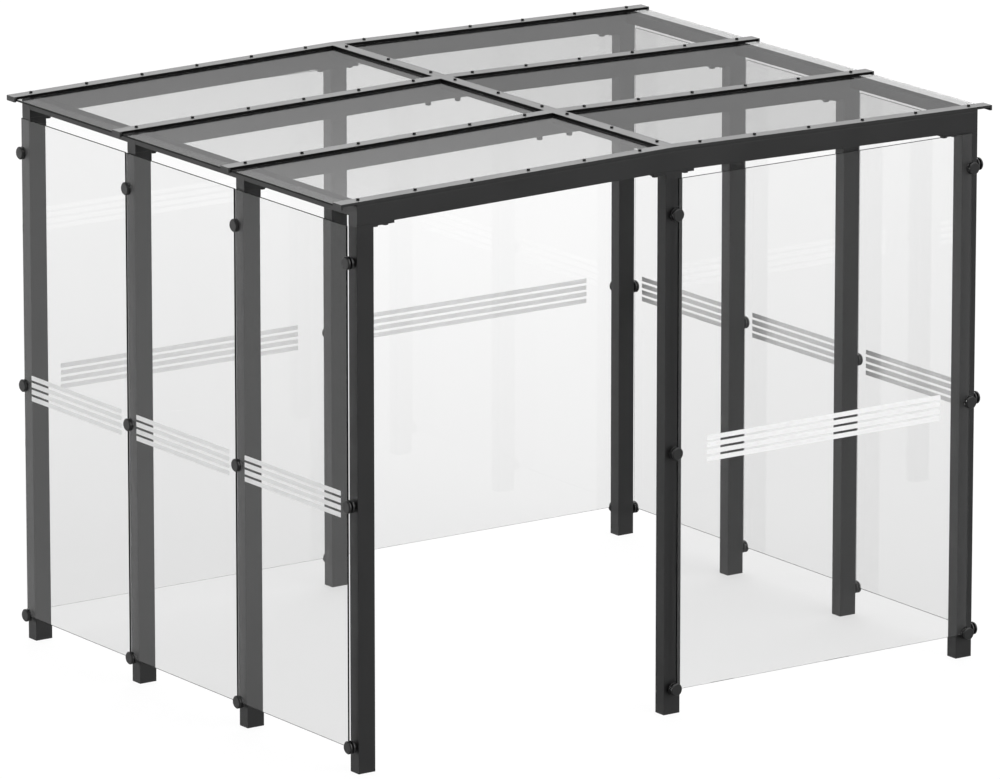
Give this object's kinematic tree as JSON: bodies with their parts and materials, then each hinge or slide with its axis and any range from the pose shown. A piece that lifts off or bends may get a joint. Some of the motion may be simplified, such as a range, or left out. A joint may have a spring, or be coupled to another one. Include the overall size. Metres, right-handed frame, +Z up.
{
  "type": "smoking shelter",
  "caption": "Free-standing glazed shelter: dark steel posts and cranked rafters carry a shallow glass roof, with clear walls on round point fixings and half the front left open.",
  "frame": {"origin": "centre of the shelter's plan, on the ground under the post feet", "axes": "+X to the right along the front, +Y from the front to the rear, +Z up; the front's open half is at -X, -Y"},
  "size_m": [3.2506, 2.576, 2.3871],
  "materials": {
    "frame_paint": "satin powder coat",
    "cap_paint": "satin powder coat",
    "fixing_paint": "satin",
    "wall_glass": "clear, polished edges",
    "roof_glass": "grey tint",
    "packer_rubber": "matte"
  },
  "bodies": {
    "root": {"post_left_front": "frame_paint", "post_left_second": "frame_paint", "post_left_third": "frame_paint", "post_left_rear": "frame_paint", "post_right_front": "frame_paint", "post_right_second": "frame_paint", "post_right_third": "frame_paint", "post_right_rear": "frame_paint", "post_middle_front": "frame_paint", "post_middle_rear": "frame_paint", "rafter_front": "frame_paint", "rafter_second": "frame_paint", "rafter_third": "frame_paint", "rafter_rear": "frame_paint", "eave_beams_left": "frame_paint", "eave_beams_right": "frame_paint", "ridge_beams": "frame_paint", "head_cleats": "frame_paint", "roof_pane_left_front": "roof_glass", "roof_pane_left_middle": "roof_glass", "roof_pane_left_rear": "roof_glass", "roof_pane_right_front": "roof_glass", "roof_pane_right_middle": "roof_glass", "roof_pane_right_rear": "roof_glass", "edge_packers": "packer_rubber", "cover_cap_front": "cap_paint", "cover_cap_second": "cap_paint", "cover_cap_third": "cap_paint", "cover_cap_rear": "cap_paint", "ridge_caps": "cap_paint", "wall_pane_left_front": "wall_glass", "wall_pane_left_middle": "wall_glass", "wall_pane_left_rear": "wall_glass", "wall_pane_right_front": "wall_glass", "wall_pane_right_middle": "wall_glass", "wall_pane_right_rear": "wall_glass", "wall_pane_rear_left": "wall_glass", "wall_pane_rear_right": "wall_glass", "wall_pane_front_right": "wall_glass", "fixings_left": "fixing_paint", "fixings_right": "fixing_paint", "fixings_rear": "fixing_paint", "fixings_front": "fixing_paint"}
  },
  "joints": []
}
